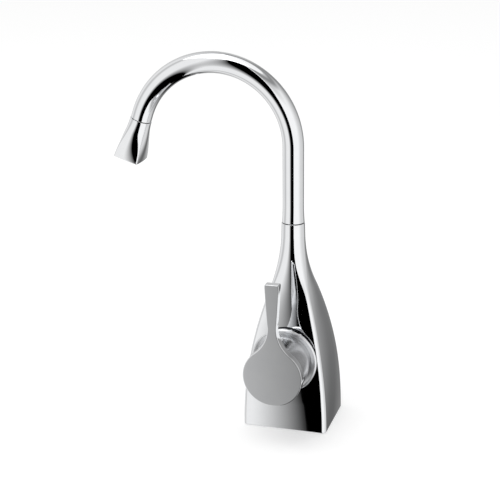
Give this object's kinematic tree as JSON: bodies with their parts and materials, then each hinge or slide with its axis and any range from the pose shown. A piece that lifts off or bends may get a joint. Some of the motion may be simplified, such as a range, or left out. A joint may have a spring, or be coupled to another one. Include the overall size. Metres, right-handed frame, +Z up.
{
  "type": "instant hot water tap",
  "caption": "Chromed instant hot water tap: a tapering four-sided body, a side lever on a round hub, and a swivelling gooseneck spout with a small flared nozzle.",
  "frame": {"origin": "centre of the base's underside, where the tap stands on the sink or worktop", "axes": "+Z up, -Y the way the spout points at rest (towards the user), +X the side that the lever is on (the user's right)"},
  "size_m": [0.07, 0.137, 0.2264],
  "materials": {
    "chrome_plate": "mirror polished",
    "turned_brass": "turned",
    "copper_pipe": "drawn",
    "black_rubber": "moulded",
    "fired_ceramic": "lapped",
    "stainless_steel": "satin",
    "white_acetal": "moulded",
    "dark_acetal": "moulded"
  },
  "bodies": {
    "base": {"body_shell": "chrome_plate", "base_plate": "turned_brass", "base_gasket": "black_rubber", "base_plate_screws": "stainless_steel", "inlet_tube": "copper_pipe", "feed_tube": "copper_pipe", "return_tube": "copper_pipe", "collar_ring": "chrome_plate", "seat_seal": "black_rubber", "fixed_disc": "fired_ceramic", "bonnet": "turned_brass", "bonnet_seal": "black_rubber", "split_ring": "white_acetal", "neck_washer": "dark_acetal"},
    "lever": {"lever_casting": "chrome_plate", "lever_insert": "turned_brass", "grub_screw": "stainless_steel", "screw_plug": "chrome_plate", "return_spring": "stainless_steel", "spindle": "turned_brass", "spindle_seals": "black_rubber", "spindle_clip": "stainless_steel", "thrust_washer": "white_acetal", "drive_disc": "fired_ceramic"},
    "spout": {"spout_tube": "chrome_plate", "spout_spigot": "turned_brass", "spigot_seals": "black_rubber", "nozzle_shell": "chrome_plate", "nozzle_bush": "turned_brass", "nozzle_seal": "black_rubber", "flow_straightener": "white_acetal", "outlet_screen": "stainless_steel", "outlet_ring": "turned_brass"}
  },
  "joints": [
    {"name": "lever_turn", "type": "hinge", "parent": "base", "child": "lever", "pos_m": [0.03, 0, 0.0452], "axis": [1, 0, 0], "range_deg": [0, 90], "stiffness_Nm_per_rad": 0.12, "springref_deg": -28.65},
    {"name": "spout_swivel", "type": "hinge", "parent": "base", "child": "spout", "pos_m": [0, 0, 0.126], "axis": [0, 0, 1], "continuous": true}
  ]
}
